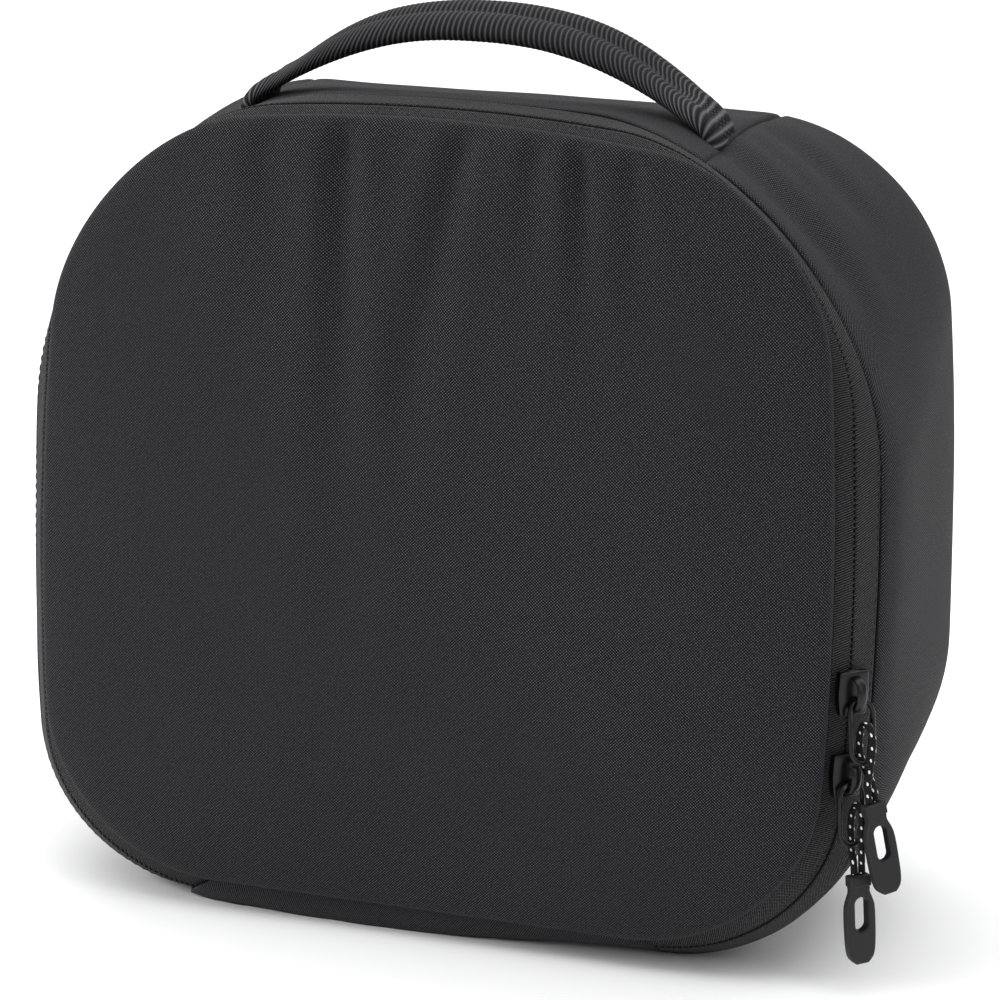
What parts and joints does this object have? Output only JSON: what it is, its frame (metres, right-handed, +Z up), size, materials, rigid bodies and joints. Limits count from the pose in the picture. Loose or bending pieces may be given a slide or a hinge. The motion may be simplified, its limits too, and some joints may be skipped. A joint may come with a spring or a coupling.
{
  "type": "goggle case",
  "caption": "Soft padded goggle case with a domed lid that zips round its edge, a hinge band along the bottom, a webbing carry handle and zip pulls with moulded tags.",
  "frame": {"origin": "middle of the flat base, on the floor", "axes": "+Z up, the lid faces -Y, +X to the right seen from the lid"},
  "size_m": [0.2809, 0.137, 0.2757],
  "materials": {
    "black_cloth": "plain woven polyester over foam, faint sheen",
    "zip_tape": "woven zip tape over a hidden coil",
    "webbing": "ribbed webbing",
    "painted_metal": "black lacquer, satin",
    "cord": "braided, with light flecks",
    "moulded_rubber": "satin moulded"
  },
  "bodies": {
    "root": {"front_panel": "black_cloth", "zip_tape_front": "zip_tape", "zip_tape_rear": "zip_tape", "hinge_band": "black_cloth", "side_wall": "black_cloth", "top_panel": "black_cloth", "back_panel": "black_cloth", "handle": "webbing", "slider_upper": "painted_metal", "slider_lower": "painted_metal", "pull_ring_upper": "painted_metal", "pull_ring_lower": "painted_metal", "pull_cord_upper": "cord", "pull_cord_lower": "cord", "pull_tag_upper": "moulded_rubber", "pull_tag_lower": "moulded_rubber"}
  },
  "joints": []
}
